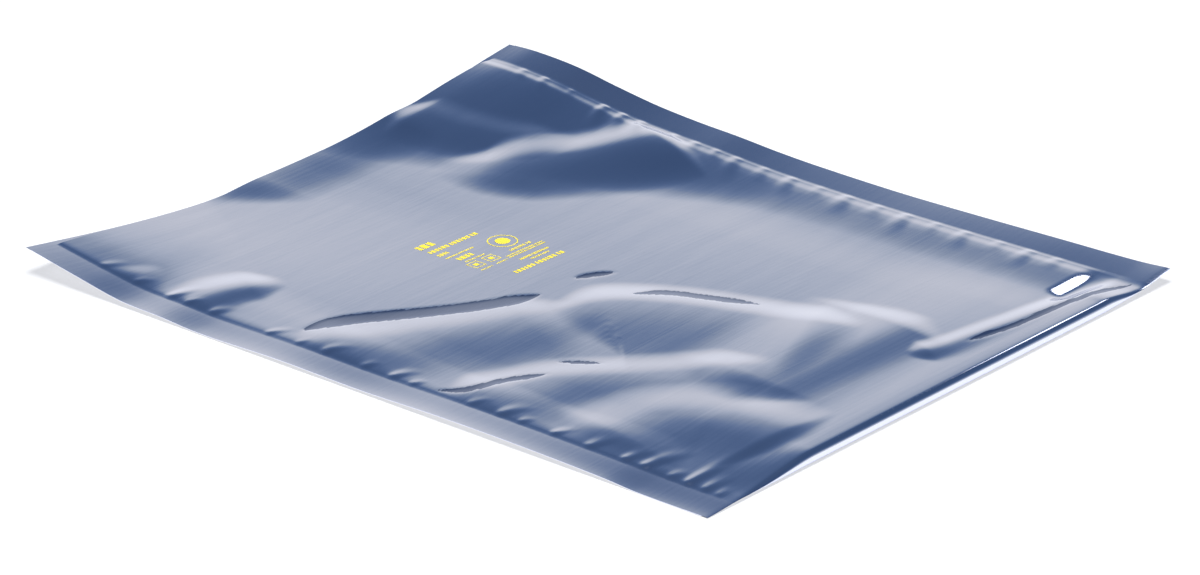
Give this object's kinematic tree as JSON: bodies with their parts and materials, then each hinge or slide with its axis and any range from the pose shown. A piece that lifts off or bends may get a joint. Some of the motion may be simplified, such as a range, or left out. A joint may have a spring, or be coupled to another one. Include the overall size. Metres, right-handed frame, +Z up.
{
  "type": "anti static shielding bag",
  "caption": "Flat anti static shielding bag of blue-grey metallised film, folded at one end, heat sealed down both long sides and open at the mouth.",
  "frame": {"origin": "centre of the bounding box at the table, under the bag", "axes": "+X across the bag from the near heat seal to the far one, +Y from the closed fold to the open mouth, +Z up from the table"},
  "size_m": [0.254, 0.3078, 0.0161],
  "materials": {
    "film": "smooth metallised laminate film, blue-grey, with a small yellow print"
  },
  "bodies": {
    "root": {"shielding_bag": "film"}
  },
  "joints": []
}
